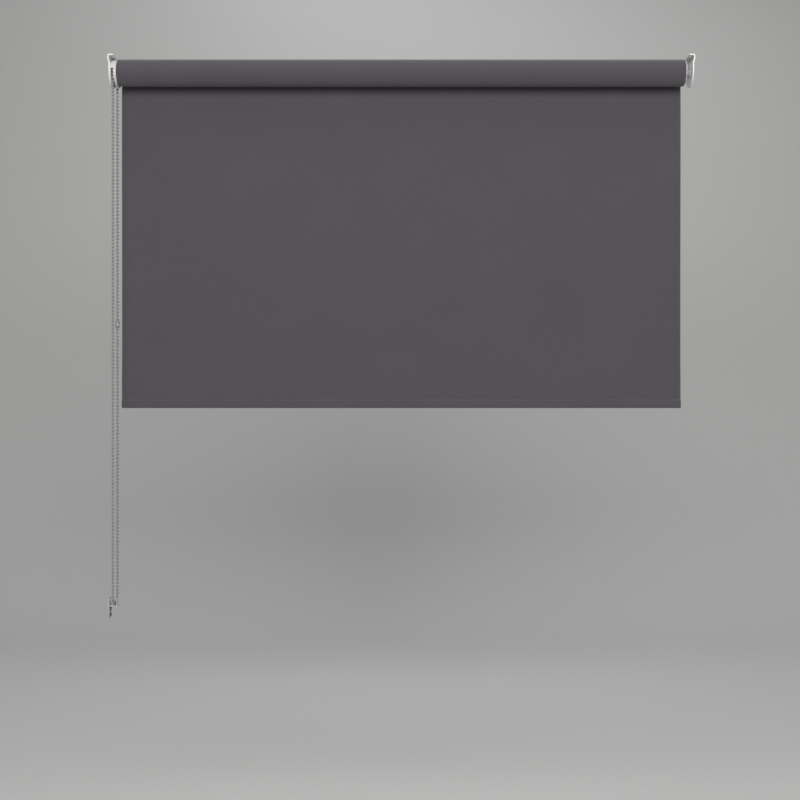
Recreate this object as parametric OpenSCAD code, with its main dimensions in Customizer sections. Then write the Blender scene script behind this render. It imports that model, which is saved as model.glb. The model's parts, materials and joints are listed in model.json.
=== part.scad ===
// Roller blind with a chain control, fixed under the head of a window recess.
//
// X runs along the roller, with the control at -X. Y runs towards the window, so the
// room is at -Y. Z is up. The origin is the middle of the four head screws, on the
// faces that press against the head of the recess, straight above the roller's axis.

/* [Blind] */
// Width over the two bracket plates
overall_w = 991; // [601:10:1401]
// Length of cloth from the roller's axis down to the bottom of the hem
drop = 574; // [300:0.5:800]
// Outer diameter of the cloth wound on the tube
roll_d = 45; // [42:0.5:45]
// Depth of the roller's axis below the head of the recess
axis_depth = 26; // [26:0.5:32]
// Gap from the outer face of a bracket plate to the end of the cloth
end_gap = 12; // [12:0.5:14]
// Thickness of the cloth
cloth_t = 0.4; // [0.3:0.05:0.5]

/* [Tube] */
// Outer diameter of the tube
tube_d = 38; // [38:0.5:39]
// Wall of the tube
tube_wall = 1.2; // [1:0.1:1.4]

/* [Brackets] */
// Thickness of the bracket plates
plate_t = 2; // [1.8:0.1:2]
// Radius of the plates' round lower end
plate_r = 25.5; // [25.5:0.5:30]
// How far the top of each plate steps outward
joggle = 2; // [1:0.5:3]
// Width of the foot that lies under the head
foot_w = 9.2; // [9.2:0.1:10]
// Distance between the two screws of one foot
screw_pitch = 25; // [20:1:30]
// Diameter of the screw holes
screw_hole_d = 4.4; // [3.5:0.1:4.6]

/* [Chain] */
// Beads on one turn of the sprocket
sprocket_beads = 18; // [18:1:18]
// Beads in the whole loop
loop_beads = 315; // [215:2:415]
// Distance from bead to bead
bead_pitch = 6; // [6:0.1:6]
// Diameter of a bead
bead_d = 4.5; // [4:0.1:4.5]

/* [Bottom bar] */
// Height of the hem that holds the bar
hem_h = 18; // [18:1:30]
// Depth of the hem, front to back
hem_d = 6.2; // [6.2:0.1:7]

/* [Hidden] */

$fn = 64;
over = 1; // how far a cutter runs past the face that it cuts

axis_z = -axis_depth;
plate_x = overall_w / 2; // outer face of a bracket plate
inner_x = plate_x - plate_t; // inner face of a bracket plate
cloth_x = plate_x - end_gap; // end of the cloth
tube_r = tube_d / 2;
tube_bore_r = tube_r - tube_wall;
roll_r = roll_d / 2;

// Stations along X at the control end, as distances from the middle of the blind
flange_in = inner_x - 1.1; // inner face of the clutch's back flange
cheek_out = flange_in - 4.8; // face of the guard's cheek that looks at the sprocket
cheek_in = cloth_x + 0.4; // face of the cheek that looks at the roll
chain_x = -(flange_in + cheek_out) / 2; // plane in which the chain runs
hub_out = cloth_x; // outer face of the drive hub's flange
hub_flange_t = 1.4;
hub_in = hub_out - 37; // inner end of the drive hub
spindle_r = 10;
spindle_in = hub_in - 3; // inner end of the fixed spindle
clip_out = hub_in - 0.8; // outer wall of the groove for the hub's clip
clip_groove_t = 1.2;
clip_groove_r = 9.2;
run_fit = 0.06; // radial clearance of a turning fit

// The clutch's flange and the guard's cheek share one round outline, hung a little low
guard_r = 23;
guard_drop = 2.2;
hood_r = 19.8; // inside of the hood, clear of the beads
hood_half = 82; // the hood covers this angle to each side of the top
rim_t = 0.7; // how far the cheek's rim narrows the slot, so that the beads stay in
cheek_bore_r = 12.9;

// Sprocket and chain
pitch_r = sprocket_beads * bead_pitch / (2 * PI);
bead_r = bead_d / 2;
strand_len = (loop_beads - sprocket_beads) * bead_pitch / 2;
turn_z = axis_z - strand_len; // centre of the loop's bottom turn
sprocket_t = 4;
sprocket_boss_r = 12.4;

// Keyway of the tube, which holds the spline of the cloth
key_r = 2; // inside of the key pocket
key_at = 16.6; // its centre, from the roller's axis
key_wall = 1;
key_mouth = 2.4;
spline_r = 1.75;

// Stations along X at the idle end
plug_flange_in = cloth_x + 0.1;
plug_flange_out = plug_flange_in + 2;
plug_flange_r = 20;
plug_nose_r = 7;
plug_nose_out = plug_flange_out + 2.9;
plug_in = cloth_x - 36;
pocket_front = cloth_x - 8; // front wall of the spring pocket
pocket_r = 7.6;
cap_t = 4;
pin_r = 4;
pin_collar_r = 7.3;
pin_collar_t = 3.8;
pin_tail_r = 2.9;
pin_tip = plate_x - 0.6;
collar_front = pocket_front - 0.2;
collar_back = collar_front - pin_collar_t;
spring_back = plug_in + cap_t;
bush_r = 7;
bush_flange_r = 9;
bush_inner = inner_x - 3.5;

// Hanging cloth, hem and bar
sheet_y = roll_r + 0.5; // middle of the cloth's thickness
hem_bottom = axis_z - drop;
hem_top = hem_bottom + hem_h;
hem_z = (hem_bottom + hem_top) / 2;
bar_h = hem_h - 4.4;
bar_d = hem_d - 1.8;
bar_wall = 1;
bar_x = cloth_x - 2; // end of the bar
bar_z = hem_bottom + 0.9 + bar_h / 2; // the bar lies in the bottom of the hem
cap_flange_t = 1.4;

// Connector of the chain, on the rear strand
connector_z = -455;
connector_len = 12;
connector_r = 3.4;

// Safety tensioner, on the side wall of the recess
wall_x = -(plate_x + 4.5);
chain_bottom = turn_z - pitch_r; // centre of the lowest bead
peg_r = 2.4;
peg_z = chain_bottom + bead_r + 0.5 + peg_r;
base_t = 1.6;
base_w = 16;
base_top = peg_z + 5;
base_bottom = chain_bottom - 25;
base_face = wall_x + base_t;
cover_end = chain_x + 2.7;
cover_t = 1.6;
saddle_top = chain_bottom - bead_r - 0.5;
tensioner_screws_z = [base_bottom + 6, base_bottom + 16];

// ---------------------------------------------------------------- helpers

// Turns a shape that stands along Z to lie along X from x, on the roller's axis:
// its x becomes Y and its y becomes Z.
module on_axis(x) {
    translate([x, 0, axis_z]) rotate([90, 0, 90]) children();
}

// A tube along local Z.
module ring(outer, inner, length) {
    difference() {
        cylinder(r = outer, h = length);
        translate([0, 0, -over]) cylinder(r = inner, h = length + 2 * over);
    }
}

// A pie slice between two angles, to cut a ring with.
module slice(radius, from, to, length) {
    steps = 8;
    points = [for (i = [0:steps]) let (a = from + (to - from) * i / steps)
        radius * [cos(a), sin(a)]];
    linear_extrude(length) polygon(concat([[0, 0]], points));
}

// A flat bar's outline with round ends, standing up.
module upright_slot(width, height) {
    square([width, height - width], center = true);
    for (end = [-1, 1]) translate([0, end * (height - width) / 2]) circle(d = width);
}

// A wire wound along local Z, swept as one closed mesh.
module helix(mean_r, wire_r, length, turns, per_turn, sides) {
    count = turns * per_turn;
    points = [for (i = [0:count], j = [0:sides - 1])
        let (a = 360 * i / per_turn, b = 360 * j / sides, r = mean_r + wire_r * cos(b))
        [r * cos(a), r * sin(a), length * i / count + wire_r * sin(b)]];
    walls = [for (i = [0:count - 1], j = [0:sides - 1])
        let (k = (j + 1) % sides, low = i * sides, high = low + sides)
        [low + j, high + j, high + k, low + k]];
    first = [for (j = [0:sides - 1]) j];
    last = [for (j = [sides - 1:-1:0]) count * sides + j];
    polyhedron(points, concat([first], walls, [last]));
}

// ---------------------------------------------------------------- brackets

// Cross-section of a bracket in X and Z: foot, step and plate, for the +X side.
module bracket_section() {
    step_top = -8.5;
    step_low = -13.5;
    outer = plate_x + joggle;
    fold = 3; // outer radius of the fold between plate and foot
    corner = [for (i = [0:6]) [outer - fold, -fold] + fold * [cos(15 * i), sin(15 * i)]];
    inside = [for (i = [6:-1:0])
        [outer - fold, -fold] + (fold - plate_t) * [cos(15 * i), sin(15 * i)]];
    polygon(concat(
        [[plate_x, axis_z - plate_r - over], [plate_x, step_low], [outer, step_top]],
        corner,
        [[plate_x + joggle - foot_w, 0], [plate_x + joggle - foot_w, -plate_t]],
        inside,
        [[outer - plate_t, step_top], [inner_x, step_low],
         [inner_x, axis_z - plate_r - over]]
    ));
}

// The bent plate with its two screw holes, for the +X side.
module bracket_body() {
    difference() {
        intersection() {
            translate([0, plate_r, 0]) rotate([90, 0, 0])
                linear_extrude(2 * plate_r) bracket_section();
            on_axis(inner_x - foot_w) linear_extrude(3 * foot_w) union() {
                circle(plate_r, $fn = 128);
                translate([-plate_r, 0]) square([2 * plate_r, axis_depth]);
            }
        }
        for (side = [-1, 1])
            translate([head_hole_x(), side * screw_pitch / 2, -plate_t - over])
                cylinder(d = screw_hole_d, h = plate_t + 2 * over);
    }
}

// Middle of the flat part of a foot.
function head_hole_x() = plate_x + joggle - foot_w + 3.3;

// Openings of the drive bracket that take the clutch's boss and its two lugs.
boss_r = 6;
lug = [3, 8];
lug_at = 13;

module drive_bracket() {
    color("whitesmoke") difference() {
        mirror([1, 0, 0]) bracket_body();
        on_axis(-plate_x - over) {
            cylinder(r = boss_r + 0.1, h = plate_t + 2 * over);
            for (side = [-1, 1]) translate([side * lug_at - lug.x / 2 - 0.1, -lug.y / 2 - 0.1, 0])
                cube([lug.x + 0.2, lug.y + 0.2, plate_t + 2 * over]);
        }
    }
}

// The idle bracket has a round hole for the pin's bush.
module idle_bracket() {
    color("whitesmoke") difference() {
        bracket_body();
        on_axis(inner_x - over) cylinder(r = bush_r + 0.05, h = plate_t + 2 * over);
    }
}

// ---------------------------------------------------------------- clutch, at the control end

module guard_outline() {
    translate([0, -guard_drop]) circle(guard_r, $fn = 128);
}

// Fixed half of the clutch: back flange, boss and lugs in the bracket, and the spindle.
module clutch_core() {
    color("white") difference() {
        union() {
            on_axis(-inner_x) linear_extrude(inner_x - flange_in) guard_outline();
            on_axis(-plate_x) cylinder(r = boss_r, h = plate_t + over);
            on_axis(-plate_x) for (side = [-1, 1])
                translate([side * lug_at - lug.x / 2, -lug.y / 2, 0])
                    cube([lug.x, lug.y, plate_t + over]);
            on_axis(-flange_in - over) cylinder(r = spindle_r, h = flange_in + over - spindle_in);
        }
        on_axis(-flange_in + 6) cylinder(r = 6, h = flange_in);
        on_axis(-clip_out) ring(spindle_r + over, clip_groove_r, clip_groove_t);
    }
}

// Fixed guard: the cheek beside the roll, the hood over the top of the sprocket, and a low
// rim in front of and behind the strands, which hang out below it.
module chain_guard() {
    color("white") difference() {
        on_axis(-flange_in) union() {
            translate([0, 0, flange_in - cheek_out])
                linear_extrude(cheek_out - cheek_in) guard_outline();
            translate([0, 0, flange_in - cheek_out - rim_t]) linear_extrude(rim_t + over)
                difference() {
                    guard_outline();
                    square([2 * hood_r, 4 * guard_r], center = true);
                }
            intersection() {
                linear_extrude(flange_in - cheek_out + over) guard_outline();
                difference() {
                    slice(2 * guard_r, 90 - hood_half, 90 + hood_half, flange_in - cheek_out + over);
                    translate([0, 0, -over]) cylinder(r = hood_r, h = flange_in, $fn = 128);
                }
            }
        }
        on_axis(-cheek_out - over) cylinder(r = cheek_bore_r, h = cheek_out - cheek_in + 2 * over);
    }
}

// Clip in the spindle's groove that keeps the drive hub on.
module hub_clip() {
    clip_t = clip_groove_t - 0.2;
    clip_gap = 5;
    color("dimgray") on_axis(-clip_out + 0.1) difference() {
        ring(11.4, clip_groove_r + 0.05, clip_t);
        translate([-clip_gap / 2, -12, -over]) cube([clip_gap, 12, clip_t + 2 * over]);
    }
}

// Bead wheel: a grooved rim with a seat for each bead, and a boss that meets the hub.
module chain_sprocket() {
    rim_r = 16.9;
    seat_r = 2.75;
    color("dimgray") on_axis(chain_x - sprocket_t / 2) difference() {
        union() {
            cylinder(r = rim_r, h = sprocket_t);
            cylinder(r = sprocket_boss_r, h = -hub_out - chain_x + sprocket_t / 2);
        }
        translate([0, 0, -over])
            cylinder(r = spindle_r + run_fit, h = -hub_out - chain_x + sprocket_t + 2 * over);
        translate([0, 0, sprocket_t / 2])
            rotate_extrude($fn = 128) translate([pitch_r, 0]) circle(bead_r + 0.35, $fn = 32);
        for (i = [0:sprocket_beads - 1]) rotate(360 * i / sprocket_beads)
            translate([pitch_r, 0, -over]) cylinder(r = seat_r, h = sprocket_t + 2 * over);
    }
}

// Barrel that fits the tube: ribs on the outside and a slot for the tube's key pocket.
module barrel(length) {
    rib_r = tube_bore_r - 0.1;
    difference() {
        union() {
            cylinder(r = rib_r - 1.2, h = length);
            for (i = [0:7]) rotate(22.5 + 45 * i)
                translate([rib_r - 3, -1, 0]) cube([2.85, 2, length]);
        }
        translate([0, key_at, -over]) cylinder(r = key_r + key_wall + 0.3, h = length + 2 * over);
        translate([-key_r - key_wall - 0.3, key_at, -over])
            cube([2 * (key_r + key_wall + 0.3), 6, length + 2 * over]);
    }
}

// Turning half of the clutch, which carries the tube on the fixed spindle.
module drive_hub() {
    land = 4; // length of the bearing land at each end
    length = hub_out - hub_in;
    color("gainsboro") on_axis(-hub_out) difference() {
        union() {
            cylinder(r = tube_r - 0.1, h = hub_flange_t);
            barrel(length);
        }
        translate([0, 0, -over]) cylinder(r = spindle_r + run_fit, h = length + 2 * over);
        translate([0, 0, land]) cylinder(r = 12, h = length - 2 * land);
    }
}

// Three wrap springs that grip the spindle until the sprocket opens them.
module clutch_springs() {
    wire_r = 0.75;
    turn_pitch = 1.4;
    turns = 6;
    mean_r = spindle_r + 0.08 + wire_r;
    color("silver") for (i = [0:2]) on_axis(-hub_out + 5.4 + i * 9)
        rotate_extrude() for (t = [0:turns - 1])
            translate([mean_r, wire_r + t * turn_pitch]) circle(wire_r, $fn = 24);
}

// ---------------------------------------------------------------- tube and cloth

// Extruded tube with the key pocket that takes the spline.
module roller_tube() {
    from = -hub_out + hub_flange_t;
    color("silver") on_axis(from) linear_extrude(plug_flange_in - from) difference() {
        circle(tube_r, $fn = 128);
        difference() {
            circle(tube_bore_r, $fn = 128);
            translate([0, key_at]) circle(key_r + key_wall);
        }
        translate([0, key_at]) circle(key_r);
        translate([-key_mouth / 2, key_at]) square([key_mouth, tube_r]);
    }
}

// Rod that holds the top edge of the cloth in the key pocket.
module fabric_spline() {
    color("dimgray") translate([0, 0, key_at]) on_axis(-cloth_x + 2)
        cylinder(r = spline_r, h = 2 * cloth_x - 3);
}

// All the turns of cloth on the tube.
module fabric_roll() {
    color("dimgray") on_axis(-cloth_x) ring(roll_r, tube_r + 0.05, 2 * cloth_x, $fn = 128);
}

// Cloth that hangs from the back of the roll.
module fabric_sheet() {
    color("dimgray") translate([-cloth_x, sheet_y - cloth_t / 2, hem_top])
        cube([2 * cloth_x, cloth_t, axis_z - hem_top]);
}

// ---------------------------------------------------------------- idle end

// Plug that carries the tube, with the pocket for the sprung pin.
module idle_plug() {
    length = plug_flange_in - plug_in;
    color("white") on_axis(plug_in) difference() {
        union() {
            barrel(length);
            translate([0, 0, length]) cylinder(r = plug_flange_r, h = plug_flange_out - plug_flange_in);
            translate([0, 0, length]) cylinder(r = plug_nose_r, h = plug_nose_out - plug_flange_in);
        }
        translate([0, 0, -over]) cylinder(r = pocket_r, h = pocket_front - plug_in + over);
        cylinder(r = pin_r + run_fit, h = plug_nose_out - plug_in + over);
    }
}

// Cap pressed into the plug behind the spring.
module spring_cap() {
    color("gainsboro") on_axis(plug_in) ring(pocket_r - 0.05, pin_tail_r + 0.3, cap_t);
}

// Spring that pushes the pin out.
module idle_spring() {
    wire_r = 0.5;
    gap = 0.1;
    color("silver") on_axis(spring_back + wire_r + gap)
        helix(5.1, wire_r, collar_back - spring_back - 2 * (wire_r + gap), 8, 18, 6);
}

// Sprung pin: tip in the bracket's bush, collar behind the front wall, and a guide tail.
module idle_pin() {
    tip_chamfer = 0.8;
    color("silver") on_axis(collar_back) {
        translate([0, 0, spring_back - 2 - collar_back])
            cylinder(r = pin_tail_r, h = collar_back - spring_back + 2 + over);
        cylinder(r = pin_collar_r, h = pin_collar_t);
        cylinder(r = pin_r, h = pin_tip - tip_chamfer - collar_back);
        translate([0, 0, pin_tip - tip_chamfer - collar_back])
            cylinder(r1 = pin_r, r2 = pin_r - tip_chamfer, h = tip_chamfer);
    }
}

// Plain bearing of the pin, pressed into the idle bracket.
module pin_bush() {
    color("gray") on_axis(bush_inner) difference() {
        union() {
            cylinder(r = bush_r, h = plate_x - bush_inner);
            translate([0, 0, inner_x - bush_inner - 1.5]) cylinder(r = bush_flange_r, h = 1.5);
        }
        translate([0, 0, -over]) cylinder(r = pin_r + 0.08, h = plate_x - bush_inner + 2 * over);
    }
}

// ---------------------------------------------------------------- hem and bottom bar

// Runs an outline drawn in Y and Z along X from x, at the height z under the sheet.
module under_sheet(x, z) {
    translate([x, sheet_y, z]) rotate([90, 0, 90]) children();
}

// Cloth folded round the bar.
module hem_pocket() {
    color("dimgray") under_sheet(-cloth_x, hem_z) linear_extrude(2 * cloth_x) difference() {
        upright_slot(hem_d, hem_h);
        upright_slot(hem_d - 2 * cloth_t, hem_h - 2 * cloth_t);
    }
}

// Hollow extruded bar that weighs the cloth down.
module bottom_bar() {
    color("silver") under_sheet(-bar_x, bar_z) linear_extrude(2 * bar_x) difference() {
        upright_slot(bar_d, bar_h);
        upright_slot(bar_d - 2 * bar_wall, bar_h - 2 * bar_wall);
    }
}

// Plastic end cap of the bar: a flange and a tongue inside it.
module bar_cap() {
    tongue = 14;
    under_sheet(bar_x, bar_z) linear_extrude(cap_flange_t) upright_slot(bar_d, bar_h);
    under_sheet(bar_x - tongue, bar_z) linear_extrude(tongue + 0.5)
        upright_slot(bar_d - 2 * bar_wall - 0.2, bar_h - 2 * bar_wall - 0.2);
}

module bar_cap_left() {
    color("whitesmoke") mirror([1, 0, 0]) bar_cap();
}

module bar_cap_right() {
    color("whitesmoke") bar_cap();
}

// ---------------------------------------------------------------- chain

// One hanging strand, a plain rod of the beads' diameter.
module strand(y) {
    color("darkgray") translate([chain_x, y, turn_z]) cylinder(r = bead_r, h = strand_len, $fn = 32);
}

// Half a turn of the chain, from the -Y side to the +Y side.
module half_turn(z, start) {
    color("darkgray") translate([chain_x, 0, z]) rotate([90, 0, 90]) rotate(start)
        rotate_extrude(angle = 180, $fn = 96) translate([pitch_r, 0]) circle(bead_r, $fn = 32);
}

module chain_front_strand() {
    strand(-pitch_r);
}

module chain_rear_strand() {
    strand(pitch_r);
}

module chain_wrap() {
    half_turn(axis_z, 0);
}

module chain_turn() {
    half_turn(turn_z, 180);
}

// Clamshell joint that closes the loop, on the rear strand.
module chain_connector() {
    color("lightblue") translate([chain_x, pitch_r, connector_z - connector_len / 2])
        ring(connector_r, bead_r + 0.35, connector_len);
}

// ---------------------------------------------------------------- safety tensioner

// Base on the side wall, with the peg that the bottom of the loop hangs under.
module tensioner_base() {
    color("white") difference() {
        union() {
            translate([wall_x, 0, 0]) rotate([90, 0, 90]) linear_extrude(base_t) union() {
                translate([-base_w / 2, base_bottom + base_w / 2])
                    square([base_w, base_top - base_bottom - base_w / 2 - 3]);
                translate([0, base_bottom + base_w / 2]) circle(base_w / 2);
                translate([-base_w / 2 + 3, base_top - 6]) square([base_w - 6, 6]);
                for (side = [-1, 1]) translate([side * (base_w / 2 - 3), base_top - 3]) circle(3);
            }
            translate([base_face - over, 0, peg_z]) rotate([0, 90, 0])
                cylinder(r = peg_r, h = cover_end - base_face + over);
        }
        for (z = tensioner_screws_z) translate([wall_x - over, 0, z]) rotate([0, 90, 0])
            cylinder(r = 2.1, h = base_t + 2 * over);
    }
}

// Cover that closes the eye round the chain: an end wall and a saddle under the beads.
module tensioner_cover() {
    saddle_w = 11;
    saddle_t = 2.2;
    top = peg_z + peg_r + 2;
    color("white") translate([base_face, -saddle_w / 2, saddle_top - saddle_t]) union() {
        cube([cover_end + cover_t - base_face, saddle_w, saddle_t]);
        translate([cover_end - base_face, 0, 0])
            cube([cover_t, saddle_w, top - saddle_top + saddle_t]);
    }
}

// Two screws that hold the base. Their threads end at the wall's face.
module tensioner_screws() {
    head_r = 3.2;
    head_t = 2;
    color("dimgray") for (z = tensioner_screws_z)
        translate([wall_x, 0, z]) rotate([0, 90, 0]) difference() {
            union() {
                cylinder(r = 1.9, h = base_t + 0.5);
                translate([0, 0, base_t]) cylinder(r = head_r, h = head_t - 0.6);
                translate([0, 0, base_t + head_t - 0.6]) cylinder(r1 = head_r, r2 = head_r - 0.8, h = 0.6);
            }
            for (turn = [0, 90]) rotate(turn)
                translate([-2, -0.4, base_t + head_t - 1.1]) cube([4, 0.8, 2]);
        }
}

drive_bracket();
idle_bracket();
clutch_core();
chain_guard();
hub_clip();
chain_sprocket();
drive_hub();
clutch_springs();
roller_tube();
fabric_spline();
fabric_roll();
idle_plug();
spring_cap();
idle_spring();
idle_pin();
pin_bush();
fabric_sheet();
hem_pocket();
bottom_bar();
bar_cap_left();
bar_cap_right();
chain_front_strand();
chain_rear_strand();
chain_wrap();
chain_turn();
chain_connector();
tensioner_base();
tensioner_cover();
tensioner_screws();
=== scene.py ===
"""Roller blind with a chain control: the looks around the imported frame.

Lengths are metres, in the frame of the CAD model: X along the roller, Y towards the window, Z up.
"""

import json
import math

import bpy
import bmesh
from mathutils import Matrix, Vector


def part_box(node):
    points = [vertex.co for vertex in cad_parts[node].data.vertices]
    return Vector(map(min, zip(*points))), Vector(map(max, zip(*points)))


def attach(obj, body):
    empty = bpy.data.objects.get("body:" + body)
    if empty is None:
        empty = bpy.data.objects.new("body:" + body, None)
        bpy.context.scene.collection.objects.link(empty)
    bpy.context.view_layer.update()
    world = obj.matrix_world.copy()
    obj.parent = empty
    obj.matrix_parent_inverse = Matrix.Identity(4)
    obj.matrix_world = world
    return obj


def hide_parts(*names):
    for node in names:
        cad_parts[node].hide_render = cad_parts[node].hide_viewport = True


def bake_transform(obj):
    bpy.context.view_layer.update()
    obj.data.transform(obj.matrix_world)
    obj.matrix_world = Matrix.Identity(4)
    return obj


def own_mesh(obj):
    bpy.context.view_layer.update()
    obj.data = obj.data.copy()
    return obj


MM = 0.001

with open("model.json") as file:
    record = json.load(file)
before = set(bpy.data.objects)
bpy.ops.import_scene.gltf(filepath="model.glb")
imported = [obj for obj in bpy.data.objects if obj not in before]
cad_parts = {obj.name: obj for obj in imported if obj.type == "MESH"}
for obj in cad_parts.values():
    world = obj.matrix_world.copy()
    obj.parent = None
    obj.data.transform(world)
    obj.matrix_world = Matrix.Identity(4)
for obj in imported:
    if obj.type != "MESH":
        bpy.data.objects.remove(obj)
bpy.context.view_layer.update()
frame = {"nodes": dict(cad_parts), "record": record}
NODES = frame["nodes"]


# ---------------------------------------------------------------- places, read from the frame


def corners(node):
    """The lowest and the highest corner of a CAD node's box."""
    return [Vector(corner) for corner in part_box(node)]


def middle(node):
    """The centre of a CAD node's box."""
    low, high = corners(node)
    return (low + high) / 2


ROLL_LOW, ROLL_HIGH = corners("fabric_roll")
AXIS = middle("fabric_roll")
ROLL_R = (ROLL_HIGH.z - ROLL_LOW.z) / 2
CLOTH_X = ROLL_HIGH.x
TUBE_LOW, TUBE_HIGH = corners("roller_tube")
TUBE_R = (TUBE_HIGH.y - TUBE_LOW.y) / 2
SHEET_LOW, SHEET_HIGH = corners("fabric_sheet")
SHEET_Y = (SHEET_LOW.y + SHEET_HIGH.y) / 2
HEM_LOW, HEM_HIGH = corners("hem_pocket")
CLOTH_T = 0.4 * MM
WRAP = math.radians(75)  # how far the free cloth still covers the back of the roll
TAPER = math.radians(45)  # the part of that over which it merges with the turn below
START_RISE = 0.25  # how far its middle is off the roll's surface where it starts, in thicknesses
FULL_RISE = 0.75  # the same where it leaves the roll
LAP = 1.05 * CLOTH_T  # from the middle of the hem's back layer to the middle of its front one

STRAND = middle("chain_front_strand")
STRAND_LOW, STRAND_HIGH = corners("chain_front_strand")
PITCH_R = abs(STRAND.y)
BEAD_R = (STRAND_HIGH.x - STRAND_LOW.x) / 2
STRAND_LEN = STRAND_HIGH.z - STRAND_LOW.z
SPROCKET_BEADS = 18
BEAD_PITCH = 2 * math.pi * PITCH_R / SPROCKET_BEADS


# ---------------------------------------------------------------- material helpers


class Graph:
    """A material with its Principled shader, and short ways to add nodes to it."""

    def __init__(self, name, colour, roughness=0.5, metallic=0.0, **inputs):
        self.material = bpy.data.materials.new(name)
        self.material.use_nodes = True
        self.tree = self.material.node_tree
        self.shader = self.tree.nodes["Principled BSDF"]
        self.set("Base Color", (*colour, 1.0))
        self.set("Roughness", roughness)
        self.set("Metallic", metallic)
        for socket, value in inputs.items():
            self.set(socket.replace("_", " "), value)

    def set(self, socket, value):
        self.shader.inputs[socket].default_value = value

    def add(self, kind, links=(), **settings):
        node = self.tree.nodes.new(kind)
        for key, value in settings.items():
            if hasattr(node, key):
                setattr(node, key, value)
            else:
                node.inputs[key.replace("_", " ")].default_value = value
        for socket, source in dict(links).items():
            self.tree.links.new(source, node.inputs[socket])
        return node

    def coordinates(self, scale, which="Object"):
        place = self.add("ShaderNodeTexCoord")
        mapping = self.add("ShaderNodeMapping", {"Vector": place.outputs[which]})
        mapping.inputs["Scale"].default_value = scale
        return mapping.outputs["Vector"]

    def noise(self, scale, stretch=(1, 1, 1), detail=3.0, which="Object"):
        """Noise with this many lumps a metre, before the stretch."""
        place = self.coordinates(stretch, which)
        node = self.add("ShaderNodeTexNoise", {"Vector": place}, Scale=scale, Detail=detail)
        return node.outputs["Fac"]

    def maths(self, operation, a, b=None):
        node = self.add("ShaderNodeMath", operation=operation)
        for index, value in enumerate(v for v in (a, b) if v is not None):
            if isinstance(value, (int, float)):
                node.inputs[index].default_value = value
            else:
                self.tree.links.new(value, node.inputs[index])
        return node.outputs["Value"]

    def spread(self, value, low, high, start=0.0, end=1.0):
        """Maps value from start..end to low..high."""
        node = self.add("ShaderNodeMapRange", {"Value": value})
        for socket, number in (("From Min", start), ("From Max", end), ("To Min", low), ("To Max", high)):
            node.inputs[socket].default_value = number
        return node.outputs["Result"]

    def tint(self, value, dark, light):
        """A colour between dark and light, into the base colour."""
        ramp = self.add("ShaderNodeValToRGB", {"Fac": value})
        ramp.color_ramp.elements[0].color = (*dark, 1.0)
        ramp.color_ramp.elements[1].color = (*light, 1.0)
        self.tree.links.new(ramp.outputs["Color"], self.shader.inputs["Base Color"])

    def rough(self, value):
        self.tree.links.new(value, self.shader.inputs["Roughness"])

    def bump(self, height, distance, strength=1.0):
        node = self.add("ShaderNodeBump", {"Height": height}, Distance=distance, Strength=strength)
        self.tree.links.new(node.outputs["Normal"], self.shader.inputs["Normal"])


def shade(colour, factor):
    return tuple(min(1.0, c * factor) for c in colour)


# ---------------------------------------------------------------- materials


def cloth(name, colour):
    """Plain-woven polyester. Its UVs are metres along the weft and the warp."""
    thread = 0.55 * MM
    g = Graph(name, colour, roughness=0.86, Sheen_Weight=0.25, Sheen_Roughness=0.6,
              Specular_IOR_Level=0.25)
    uv = g.add("ShaderNodeTexCoord").outputs["UV"]
    split = g.add("ShaderNodeSeparateXYZ", {"Vector": uv})
    turn = math.pi / thread  # half a wave for each thread
    weft = g.maths("SINE", g.maths("MULTIPLY", split.outputs["X"], turn))
    warp = g.maths("SINE", g.maths("MULTIPLY", split.outputs["Y"], turn))
    weave = g.maths("ABSOLUTE", g.maths("MULTIPLY", weft, warp))
    along_weft = g.noise(60, (1, 22, 1), detail=2.0, which="UV")
    along_warp = g.noise(60, (22, 1, 1), detail=2.0, which="UV")
    slub = g.maths("ADD", along_weft, along_warp)
    broad = g.noise(9, detail=2.0, which="UV")
    # The weave term paints the raised thread crossings lighter: a painted highlight on the thread relief.
    # The slub and broad noise are the yarn's own uneven tone.
    mixed = g.maths("ADD", g.maths("MULTIPLY", slub, 0.42), g.maths("MULTIPLY", weave, 0.16))
    mixed = g.maths("ADD", mixed, g.maths("MULTIPLY", broad, 0.12))
    g.tint(g.spread(mixed, 0, 1, 0.38, 0.72), shade(colour, 0.84), shade(colour, 1.16))
    height = g.maths("ADD", weave, g.maths("MULTIPLY", slub, 0.5))
    g.bump(height, 0.12 * MM, 0.5)
    g.rough(g.spread(slub, 0.8, 0.93, 0.8, 1.2))
    return g.material


def powder_coat(name, colour):
    """Satin powder coat with a fine orange peel."""
    g = Graph(name, colour, roughness=0.38, Coat_Weight=0.15, Coat_Roughness=0.3)
    peel = g.noise(900, detail=2.0)
    g.bump(peel, 0.05 * MM, 0.35)
    cloudy = g.noise(40, detail=4.0)
    g.tint(g.spread(cloudy, 0, 1, 0.3, 0.7), shade(colour, 0.955), shade(colour, 1.02))
    g.rough(g.spread(cloudy, 0.34, 0.46, 0.3, 0.7))
    return g.material


def moulded(name, colour, roughness=0.35, grain=0.04, **inputs):
    """Injection-moulded plastic: a faint spark-eroded grain and uneven gloss."""
    g = Graph(name, colour, roughness=roughness, **inputs)
    spark = g.noise(2600, detail=2.0)
    g.bump(spark, grain * MM, 0.4)
    flow = g.noise(90, (1, 1, 0.3), detail=3.0)
    g.tint(g.spread(flow, 0, 1, 0.3, 0.7), shade(colour, 0.95), shade(colour, 1.03))
    g.rough(g.spread(flow, roughness - 0.06, roughness + 0.08, 0.3, 0.7))
    return g.material


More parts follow.
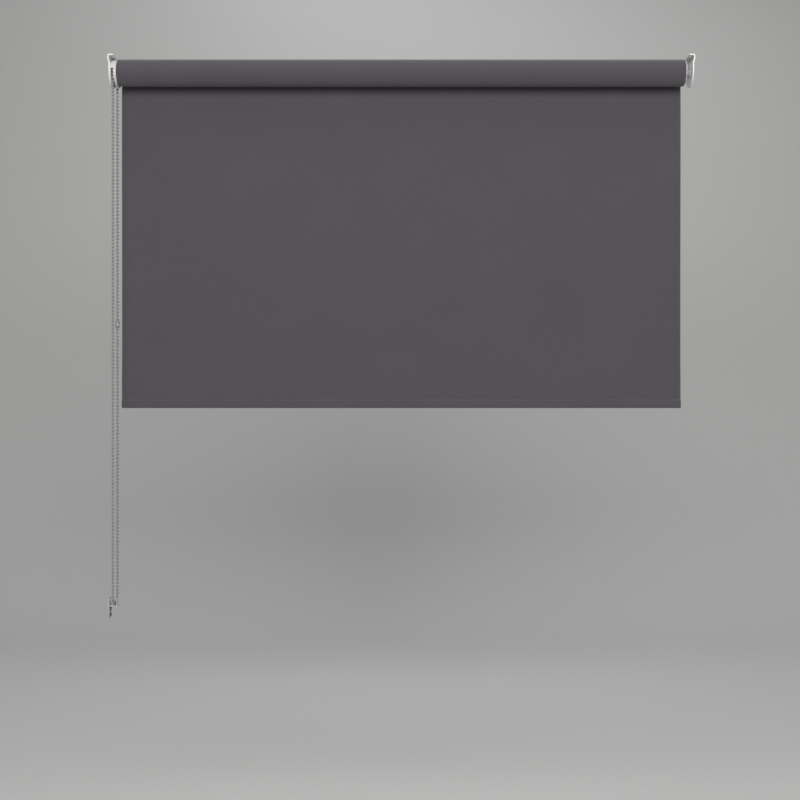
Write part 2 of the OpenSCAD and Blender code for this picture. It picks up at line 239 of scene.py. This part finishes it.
def extruded(name, colour, roughness=0.34):
    """Mill-finish extrusion: die lines along X."""
    g = Graph(name, colour, roughness=roughness, metallic=1.0)
    lines = g.noise(1, (6, 2600, 2600), detail=4.0)
    g.bump(lines, 0.02 * MM, 0.5)
    g.tint(g.spread(lines, 0, 1, 0.35, 0.65), shade(colour, 0.88), shade(colour, 1.05))
    g.rough(g.spread(lines, roughness - 0.08, roughness + 0.12, 0.35, 0.65))
    return g.material


def steel(name, colour, roughness=0.3):
    """Turned or drawn steel with fine marks round the X axis."""
    g = Graph(name, colour, roughness=roughness, metallic=1.0)
    marks = g.noise(1, (9000, 700, 700), detail=3.0)
    g.bump(marks, 0.01 * MM, 0.4)
    stain = g.noise(300, detail=4.0)
    g.tint(g.spread(stain, 0, 1, 0.3, 0.7), shade(colour, 0.8), shade(colour, 1.08))
    g.rough(g.spread(stain, roughness - 0.08, roughness + 0.14, 0.3, 0.7))
    return g.material


CLOTH = cloth("charcoal_cloth", (0.0692, 0.0618, 0.0746))
PAINT = powder_coat("white_powder_coat", (0.76, 0.76, 0.75))
# Darker than the plastic's own white (about 0.86): partly painted shade, for the shade the fittings sit
# in, and partly to keep the whites from clipping.
WHITE = moulded("white_plastic", (0.57, 0.57, 0.56), roughness=0.34)
# The same white plastic, painted darker: painted shade for the shade the tensioner sits in low on the
# wall.
TENSIONER_SHADED_WHITE = moulded("tensioner_plastic_painted_shade", (0.45, 0.45, 0.445), roughness=0.42)
GREY = moulded("grey_plastic", (0.42, 0.42, 0.43), roughness=0.5, grain=0.06)
CAP = moulded("bar_cap_plastic", (0.5, 0.5, 0.5), roughness=0.45)
DARK = moulded("spline_plastic", (0.05, 0.05, 0.055), roughness=0.55)
SPROCKET = moulded("dark_plastic", (0.045, 0.045, 0.048), roughness=0.48, grain=0.06)
BEAD = moulded("bead_plastic", (0.25, 0.25, 0.26), roughness=0.28, grain=0.01)
CLEAR = moulded("clear_plastic", (0.92, 0.95, 0.96), roughness=0.12, grain=0.0,
                Transmission_Weight=0.85, IOR=1.49)
ALUMINIUM = extruded("mill_aluminium", (0.72, 0.72, 0.73))
SPRING = steel("spring_steel", (0.42, 0.42, 0.43), roughness=0.28)
PIN = steel("plated_pin", (0.62, 0.62, 0.6), roughness=0.22)
SCREW = steel("dark_screws", (0.16, 0.155, 0.15), roughness=0.36)


# ---------------------------------------------------------------- mesh helpers


def new_piece(name, points, faces, material, uvs=None):
    """A new smooth-shaded object. uvs gives one pair for each point."""
    mesh = bpy.data.meshes.new(name)
    mesh.from_pydata(points, [], faces)
    if uvs:
        layer = mesh.uv_layers.new(name="metres")
        for loop in mesh.loops:
            layer.data[loop.index].uv = uvs[loop.vertex_index]
    mesh.materials.append(material)
    mesh.polygons.foreach_set("use_smooth", [True] * len(mesh.polygons))
    piece = bpy.data.objects.new(name, mesh)
    bpy.context.scene.collection.objects.link(piece)
    return piece


def grid_faces(rows, columns, closed=False):
    """Quads of a grid of points stored row by row. closed joins each row's end to its start."""
    faces = []
    for r in range(rows - 1):
        for c in range(columns - (0 if closed else 1)):
            right = (c + 1) % columns
            low, high = r * columns, (r + 1) * columns
            faces.append((low + c, low + right, high + right, high + c))
    return faces


def tube_faces(rings, sides):
    """A tube through rings of points, with both ends filled."""
    faces = grid_faces(rings, sides, closed=True)
    last = (rings - 1) * sides
    faces.append(tuple(reversed(range(sides))))
    faces.append(tuple(last + i for i in range(sides)))
    return faces


def apply_modifiers(piece):
    evaluated = piece.evaluated_get(bpy.context.evaluated_depsgraph_get())
    mesh = bpy.data.meshes.new_from_object(evaluated)
    piece.modifiers.clear()
    piece.data = mesh
    return piece


def steps(low, high, count):
    """count + 1 evenly spaced numbers from low to high."""
    return [low + (high - low) * i / count for i in range(count + 1)]


# ---------------------------------------------------------------- cloth


def ripple(x, z, seed=0.0):
    """A slow unevenness from -1 to 1, the same on every run."""
    return (
        0.5 * math.sin(5.1 * x + 1.3 + seed)
        + 0.3 * math.sin(11.7 * x - 6.3 * z + 0.4 + seed)
        + 0.2 * math.sin(23.0 * x + 9.1 * z + 2.1 + seed)
    )


def smooth_step(t):
    t = max(0.0, min(1.0, t))
    return t * t * (3 - 2 * t)


def risen(angle):
    """From 0 where the free cloth starts on the roll's back to 1 where it lies clear of the turn below."""
    return smooth_step((WRAP - angle) / TAPER)


def thickness_share(y, z):
    """How much of its thickness the cloth has: on the roll it starts thin, so that no edge shows."""
    return risen(math.atan2(z - AXIS.z, y - AXIS.y)) if z > AXIS.z else 1.0


def wrapped_arc():
    """The cloth while it still lies on the roll, from over its back down to the level of the axis."""
    points = []
    for a in steps(WRAP, 0, 20)[:-1]:
        radius = ROLL_R + (START_RISE + (FULL_RISE - START_RISE) * risen(a)) * CLOTH_T
        points.append((AXIS.y + radius * math.cos(a), AXIS.z + radius * math.sin(a)))
    return points


def hanging_line():
    """The free cloth. It bows back more and more on its way down, and comes straight above the hem."""
    top, bottom = AXIS.z, HEM_HIGH.z
    start = AXIS.y + ROLL_R + FULL_RISE * CLOTH_T - SHEET_Y
    settle = 12  # it is in its own plane after one part in this many of the drop
    deepest = 2.2 * MM
    turning = 0.85  # the share of the drop over which it bows back, before it comes straight
    line = []
    for z in steps(top, bottom, 84):
        t = (top - z) / (top - bottom)
        lift_off = start * (1 - smooth_step(settle * t))
        bow = deepest * smooth_step(t / turning) * smooth_step((1 - t) / (1 - turning))
        line.append((SHEET_Y + lift_off + bow, z))
    return line


def hem_line():
    """Down behind the bar, round under it, and up in front to the weld."""
    low, high = HEM_LOW.z + CLOTH_T / 2, HEM_HIGH.z
    depth = (HEM_HIGH.y - HEM_LOW.y) / 2 - CLOTH_T / 2
    weld = high - 1.8 * MM
    full = weld - 4.2 * MM  # from here down the pocket has its full depth
    turn = low + depth
    raw_edge = high - 0.2 * MM
    side = []
    for z in steps(weld, full, 10):
        side.append((depth * smooth_step((weld - z) / (weld - full)), z))
    side += [(depth, z) for z in steps(full, turn, 6)[1:]]
    side += [(depth * math.cos(a), turn - depth * math.sin(a)) for a in steps(0, math.pi / 2, 8)[1:]]
    back = [(SHEET_Y + y, z) for y, z in side]
    front = [(SHEET_Y - max(y, LAP), z) for y, z in side[-2::-1]]
    return back + front + [(SHEET_Y - LAP, raw_edge)]


def cloth_panel():
    """The cloth from the back of the roll to the hem's raw edge: one layer of its real thickness."""
    path = wrapped_arc() + hanging_line() + hem_line()
    columns = steps(-CLOTH_X, CLOTH_X, 72)
    bottom = HEM_HIGH.z
    fade_top, fade_bottom = 80 * MM, 30 * MM  # from the roll and from the bar, until it waves freely
    side_band = 30 * MM  # width of the cloth that curls towards the room along each side
    wave, curl, pucker = 0.4 * MM, 0.9 * MM, 0.12 * MM
    points, uvs = [], []
    along = 0.0
    for i, (y, z) in enumerate(path):
        along += math.dist(path[i - 1], (y, z)) if i else 0.0
        for x in columns:
            free = smooth_step((AXIS.z - z) / fade_top) * smooth_step((z - bottom) / fade_bottom)
            edge = max(0.0, abs(x) - CLOTH_X + side_band) / side_band
            lean = wave * ripple(x, z) - curl * edge * edge
            swell = smooth_step((bottom - z - 4 * MM) / (3 * MM)) * smooth_step((z - HEM_LOW.z) / (4 * MM))
            side = 1 if y > SHEET_Y else -1
            push = pucker * side * swell * (ripple(3 * x, z, 1.0) - 1)
            points.append((x, y + free * lean + push, z))
            uvs.append((x, along))
    piece = new_piece("cloth_panel", points, grid_faces(len(path), len(columns)), CLOTH, uvs)
    shares = piece.vertex_groups.new(name="thickness")
    for row, (y, z) in enumerate(path):
        first = row * len(columns)
        shares.add(range(first, first + len(columns)), thickness_share(y, z), "REPLACE")
    solid = piece.modifiers.new("thickness", "SOLIDIFY")
    solid.thickness = CLOTH_T
    solid.offset = 0.0
    solid.vertex_group = shares.name
    solid.thickness_vertex_group = 0.1  # the share of the thickness that is left at the very start
    return apply_modifiers(piece), along


def roll_skin():
    """The outermost turn of cloth: a closed shell with real edges at both ends."""
    sides = 144
    inner = ROLL_R - CLOTH_T
    rim, margin = 0.2 * MM, 4 * MM  # from the cut end to the next two rings of points
    rounding = 0.12 * MM  # how much smaller the roll's radius is right at its ends
    slackness = 0.06 * MM
    stations = [-CLOTH_X, -CLOTH_X + rim]
    stations += steps(-CLOTH_X + margin, CLOTH_X - margin, 40)
    stations += [CLOTH_X - rim, CLOTH_X]
    profile = [(x, ROLL_R - (rounding if abs(x) == CLOTH_X else 0.0)) for x in stations]
    profile += [(x, inner) for x in reversed(stations)]
    points, uvs = [], []
    for x, r in profile:
        for i in range(sides + 1):
            a = 2 * math.pi * i / sides
            reach = r + (slackness * ripple(x, 0.0, a) if r > inner else 0.0)
            points.append((x, AXIS.y + reach * math.cos(a), AXIS.z + reach * math.sin(a)))
            uvs.append((x, r * a))
    rows = len(profile)
    faces = grid_faces(rows, sides + 1)
    last = (rows - 1) * (sides + 1)
    faces += [(last + i, last + i + 1, i + 1, i) for i in range(sides)]
    piece = new_piece("roll_outer_turn", points, faces, CLOTH, uvs)
    mesh = bmesh.new()
    mesh.from_mesh(piece.data)
    bmesh.ops.remove_doubles(mesh, verts=mesh.verts, dist=1e-7)
    bmesh.ops.recalc_face_normals(mesh, faces=mesh.faces)
    mesh.to_mesh(piece.data)
    mesh.free()
    return piece


def roll_turns():
    """The turns under it: one ribbon wound in a spiral, whose edges show at the ends of the roll."""
    start = TUBE_R + 0.3 * MM
    finish = ROLL_R - 1.6 * CLOTH_T
    turns = round((finish - start) / CLOTH_T)
    per_turn = 72
    half = 0.42 * CLOTH_T  # half of the ribbon's thickness, which leaves a gap between turns
    inset = 0.3 * MM  # from the ends of the outer turn
    unevenness = 0.25 * MM
    count = turns * per_turn
    rows = []
    for i in range(count + 1):
        a = 2 * math.pi * i / per_turn
        r = start + (finish - start) * i / count
        stray = unevenness * math.sin(2.3 * a / math.pi + 0.7) * (i / count)
        rows.append((a, r, stray))
    points, uvs = [], []
    for end in (-1, 1):
        for a, r, stray in rows:
            for side in (-half, half):
                x = end * (CLOTH_X - inset) + stray
                points.append((x, AXIS.y + (r + side) * math.cos(a), AXIS.z + (r + side) * math.sin(a)))
                uvs.append((x, r * a))
    n = len(rows)
    faces = []
    for i in range(n - 1):
        a, b = 2 * i, 2 * (i + 1)
        c, d = a + 2 * n, b + 2 * n
        faces += [(a, b, d, c), (a + 1, c + 1, d + 1, b + 1), (a, a + 1, b + 1, b), (c, d, d + 1, c + 1)]
    faces += [(0, 2 * n, 2 * n + 1, 1), (2 * n - 2, 2 * n - 1, 4 * n - 1, 4 * n - 2)]
    wound_length = math.pi * turns * (start + finish)
    return new_piece("roll_inner_turns", points, faces, CLOTH, uvs), wound_length


# ---------------------------------------------------------------- chain


def on_turn(angle, centre_z):
    """Point and direction at this angle of one of the loop's two half turns."""
    point = Vector((STRAND.x, PITCH_R * math.cos(angle), centre_z + PITCH_R * math.sin(angle)))
    return point, Vector((0, math.sin(angle), -math.cos(angle)))


def on_loop(s):
    """Point and direction at s along the loop, from the front of the sprocket over its top."""
    half = math.pi * PITCH_R
    loop = 2 * (half + STRAND_LEN)
    s %= loop
    low = AXIS.z - STRAND_LEN
    if s < half:
        return on_turn(math.pi - s / PITCH_R, AXIS.z)
    s -= half
    if s < STRAND_LEN:
        return Vector((STRAND.x, PITCH_R, AXIS.z - s)), Vector((0, 0, -1))
    s -= STRAND_LEN
    if s < half:
        return on_turn(-s / PITCH_R, low)
    s -= half
    return Vector((STRAND.x, -PITCH_R, low + s)), Vector((0, 0, 1))


def bead_profile():
    """Distance along the pitch and radius, over one bead and half the cord on each side."""
    cord = 0.6 * MM
    reach = math.sqrt(BEAD_R**2 - cord**2)
    rings = [(-BEAD_PITCH / 2, cord)]
    for a in steps(-math.pi / 2, math.pi / 2, 10):
        z = reach * math.sin(a)
        rings.append((z, math.sqrt(BEAD_R**2 - z * z)))
    return rings


def beads(name, first, last):
    """Beads first to last of the loop as one swept mesh."""
    sides = 14
    points = []
    stations = [(k * BEAD_PITCH + z, r) for k in range(first, last + 1) for z, r in bead_profile()]
    stations.append((last * BEAD_PITCH + BEAD_PITCH / 2, bead_profile()[0][1]))
    across = Vector((1, 0, 0))
    for s, r in stations:
        centre, along = on_loop(s)
        other = along.cross(across)
        for i in range(sides):
            a = 2 * math.pi * i / sides
            points.append(centre + r * (math.cos(a) * across + math.sin(a) * other))
    return new_piece(name, points, tube_faces(len(stations), sides), BEAD)


def connector():
    """Clear clamshell: a waisted sleeve with rounded ends and a ridge along each parting line."""
    low, high = corners("chain_connector")
    centre = (low + high) / 2
    outer = (high.x - low.x) / 2
    inner = BEAD_R + 0.3 * MM
    half = (high.z - low.z) / 2
    mouth, waist = outer * 0.9, outer * 0.94
    upper = [(waist, half * 0.2), (outer, half * 0.4), (outer, half * 0.86), (mouth, half), (inner, half)]
    profile = [(r, -z) for r, z in reversed(upper)] + upper + [(inner, 0.0)]
    seam = 0.25 * MM
    sides = 40
    points = []
    for r, z in profile:
        for i in range(sides):
            a = 2 * math.pi * i / sides
            reach = r + (seam if r > inner and i % (sides // 2) == 0 else 0.0)
            points.append((centre.x + reach * math.cos(a), centre.y + reach * math.sin(a), centre.z + z))
    rows = len(profile)
    faces = grid_faces(rows, sides, closed=True)
    for c in range(sides):
        right = (c + 1) % sides
        faces.append(((rows - 1) * sides + c, (rows - 1) * sides + right, right, c))
    return new_piece("connector_shell", points, faces, CLEAR)


# ---------------------------------------------------------------- spring of the idle pin


def pin_spring():
    """A wire coil along the roller, and the share of its length that is left with the pin pressed."""
    low, high = corners("idle_spring")
    wire_r = 0.5 * MM
    mean_r = (high.y - low.y) / 2 - wire_r
    turns, per_turn, sides = 8, 36, 12
    length = high.x - low.x
    rise = length - 2 * wire_r
    points = []
    for i in range(turns * per_turn + 1):
        a = 2 * math.pi * i / per_turn
        x = low.x + wire_r + rise * i / (turns * per_turn)
        for j in range(sides):
            b = 2 * math.pi * j / sides
            r = mean_r + wire_r * math.cos(b)
            points.append((x + wire_r * math.sin(b), AXIS.y + r * math.cos(a), AXIS.z + r * math.sin(a)))
    faces = tube_faces(turns * per_turn + 1, sides)
    press = next(j for j in frame["record"]["behaviour"]["joints"] if j["name"] == "idle_pin_press")
    return new_piece("pin_spring_coil", points, faces, SPRING), low, 1 - press["range_m"][1] / length


# ---------------------------------------------------------------- hard parts with softened edges


def softened(node, material, width):
    """A copy of a CAD node whose sharp edges have a real small round."""
    weld, flat_within, sharp_from = 2e-6, math.radians(1.2), math.radians(28)
    mesh = NODES[node].data.copy()
    work = bmesh.new()
    work.from_mesh(mesh)
    bmesh.ops.remove_doubles(work, verts=work.verts, dist=weld)
    bmesh.ops.dissolve_limit(work, angle_limit=flat_within, verts=work.verts, edges=work.edges)
    work.to_mesh(mesh)
    work.free()
    mesh.name = node + "_finished"
    mesh.materials.clear()
    mesh.materials.append(material)
    piece = bpy.data.objects.new(node + "_finished", mesh)
    bpy.context.scene.collection.objects.link(piece)
    bevel = piece.modifiers.new("soft_edges", "BEVEL")
    bevel.width = width
    bevel.segments = 3
    bevel.limit_method = "ANGLE"
    bevel.angle_limit = sharp_from
    bevel.use_clamp_overlap = True
    bevel.harden_normals = False
    apply_modifiers(piece)
    piece.data.polygons.foreach_set("use_smooth", [True] * len(piece.data.polygons))
    normals = piece.modifiers.new("flat_faces", "WEIGHTED_NORMAL")
    normals.keep_sharp = True
    return piece


def body_of(node):
    return next(body for body, names in frame["record"]["behaviour"]["bodies"].items() if node in names)


def finish_hard_parts():
    """Bevelled copies of the hard parts that show, with the width of each bevel in millimetres."""
    bevelled = {
        "drive_bracket": (PAINT, 0.35), "idle_bracket": (PAINT, 0.35),
        "clutch_core": (WHITE, 0.3), "chain_guard": (WHITE, 0.4), "idle_plug": (WHITE, 0.25),
        "tensioner_base": (TENSIONER_SHADED_WHITE, 0.5), "tensioner_cover": (TENSIONER_SHADED_WHITE, 0.5),
        "tensioner_screws": (SCREW, 0.12),
        "pin_bush": (GREY, 0.25), "bar_cap_left": (CAP, 0.25), "bar_cap_right": (CAP, 0.25),
    }
    for node, (material, width) in bevelled.items():
        piece = softened(node, material, width * MM)
        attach(piece, body_of(node))
        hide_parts(node)


def dress_inner_parts():
    """Gives each carried-over CAD node its material."""
    for node, material in {
        "chain_sprocket": SPROCKET, "drive_hub": GREY, "spring_cap": GREY, "fabric_spline": DARK,
        "roller_tube": ALUMINIUM, "bottom_bar": ALUMINIUM, "clutch_springs": SPRING,
        "hub_clip": SPRING, "idle_pin": PIN,
    }.items():
        for slot in NODES[node].material_slots:
            slot.material = material


# ---------------------------------------------------------------- stage, lights and camera


def backdrop():
    """A pale floor that curves up into a plain wall behind the blind."""
    floor_z, wall_y, bend = -1.28, 2.3, 0.9
    half_width, front, top = 9.0, -9.0, 2.6
    path = [(front, floor_z)]
    for a in steps(0, math.pi / 2, 16):
        path.append((wall_y - bend + bend * math.sin(a), floor_z + bend - bend * math.cos(a)))
    path.append((wall_y, top))
    points = [(x, y, z) for y, z in path for x in (-half_width, half_width)]
    g = Graph("pale_stage", (0.62, 0.62, 0.61), roughness=0.9)
    stage = new_piece("studio_stage", points, grid_faces(len(path), 2), g.material)


def area_light(name, place, target, size, power, colour=(1, 1, 1)):
    light = bpy.data.lights.new(name, "AREA")
    light.shape = "RECTANGLE"
    light.size, light.size_y = size
    light.energy = power
    light.color = colour
    lamp = bpy.data.objects.new(name, light)
    lamp.location = place
    lamp.rotation_euler = (Vector(target) - Vector(place)).to_track_quat("-Z", "Y").to_euler()
    bpy.context.scene.collection.objects.link(lamp)


def lights():
    area_light("key", (0.1, -2.9, 0.60), (0, 0, -0.5), (2.6, 1.5), 89, (1.0, 0.99, 0.98))
    area_light("top", (0.1, -0.55, 1.5), (0, -0.1, -0.3), (2.4, 0.8), 9)
    area_light("back", (0.3, 1.6, 1.6), (0, 0.2, -0.5), (2.0, 0.8), 18, (0.96, 0.98, 1.0))
    world = bpy.data.worlds.new("soft_room")
    world.use_nodes = True
    background = world.node_tree.nodes["Background"]
    background.inputs["Color"].default_value = (0.95, 0.97, 1.0, 1.0)
    background.inputs["Strength"].default_value = 0.15
    bpy.context.scene.world = world


def camera():
    """Level and straight on, half way down the recess, 2.1 m in front of the roller."""
    lens = bpy.data.cameras.new("camera")
    lens.sensor_width = 36.0
    lens.lens = 55.17
    lens.clip_start = 0.05
    eye = bpy.data.objects.new("camera", lens)
    eye.location = (-0.0022, -2.1, -0.586)
    eye.rotation_euler = (math.radians(90), 0, 0)
    bpy.context.scene.collection.objects.link(eye)
    bpy.context.scene.camera = eye


# ---------------------------------------------------------------- the whole

scene = bpy.context.scene
scene.view_settings.view_transform = "Standard"

camera()
backdrop()
lights()

panel, panel_length = cloth_panel()
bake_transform(panel)
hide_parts("fabric_sheet", "hem_pocket")

outer_turn = roll_skin()
inner_turns, wound_length = roll_turns()
for piece in (outer_turn, inner_turns):
    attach(piece, "roller")
    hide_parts("fabric_roll")

strand_beads = math.floor(STRAND_LEN / BEAD_PITCH)
wrap_last = SPROCKET_BEADS // 2
rear_last = wrap_last + strand_beads
turn_last = rear_last + SPROCKET_BEADS // 2
front_last = turn_last + strand_beads
for name, node, first, last in (
    ("wrap_beads", "chain_wrap", 0, wrap_last),
    ("rear_beads", "chain_rear_strand", wrap_last + 1, rear_last),
    ("turn_beads", "chain_turn", rear_last + 1, turn_last),
    ("front_beads", "chain_front_strand", turn_last + 1, front_last),
):
    piece = beads(name, first, last)
    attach(piece, "root")
    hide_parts(node)

shell = connector()
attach(shell, "connector")
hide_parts("chain_connector")

coil, seat, pressed_share = pin_spring()
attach(coil, "roller")
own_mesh(coil)
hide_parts("idle_spring")

finish_hard_parts()
dress_inner_parts()
